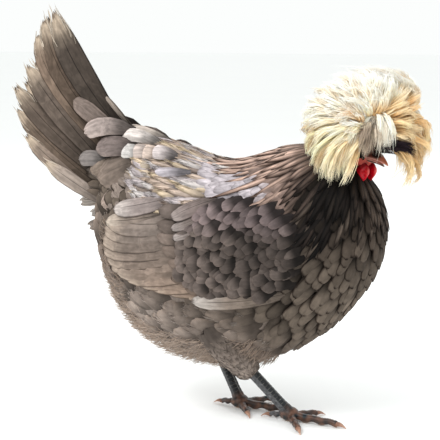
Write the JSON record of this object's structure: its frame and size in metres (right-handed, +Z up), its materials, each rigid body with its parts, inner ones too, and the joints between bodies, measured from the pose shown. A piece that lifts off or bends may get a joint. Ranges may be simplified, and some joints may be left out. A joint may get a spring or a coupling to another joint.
{
  "type": "standing crested hen model",
  "caption": "Life-size still model of a standing crested hen with a domed feather crest, folded wings, raised fan tail and bare scaled legs.",
  "frame": {"origin": "middle of the whole bird's bounding box, on the floor it stands on", "axes": "+X the way the body faces, +Y the bird's left side, +Z up"},
  "size_m": [0.425, 0.1666, 0.405],
  "materials": {
    "plumage": "soft matt feathers",
    "hackle": "silky feathers with dark edges",
    "tail": "firm matt feathers",
    "crest": "fine pale feathers",
    "face": "bare red skin",
    "wattle": "bare grained skin with a low sheen",
    "bill": "horn",
    "eye": "wet gloss",
    "leg": "scaled skin",
    "claw": "horn"
  },
  "bodies": {
    "root": {"torso": "plumage", "rump": "plumage", "wing_right": "plumage", "wing_left": "plumage", "thigh_right": "plumage", "thigh_left": "plumage", "neck": "hackle", "tail": "tail", "crest": "crest", "head": "face", "wattle_right": "wattle", "wattle_left": "wattle", "bill_upper": "bill", "bill_lower": "bill", "eye_right": "eye", "eye_left": "eye", "shank_right": "leg", "shank_left": "leg", "foot_right": "leg", "foot_left": "leg", "claw_right_middle": "claw", "claw_right_inner": "claw", "claw_right_outer": "claw", "claw_right_hind": "claw", "claw_left_middle": "claw", "claw_left_inner": "claw", "claw_left_outer": "claw", "claw_left_hind": "claw"}
  },
  "joints": []
}
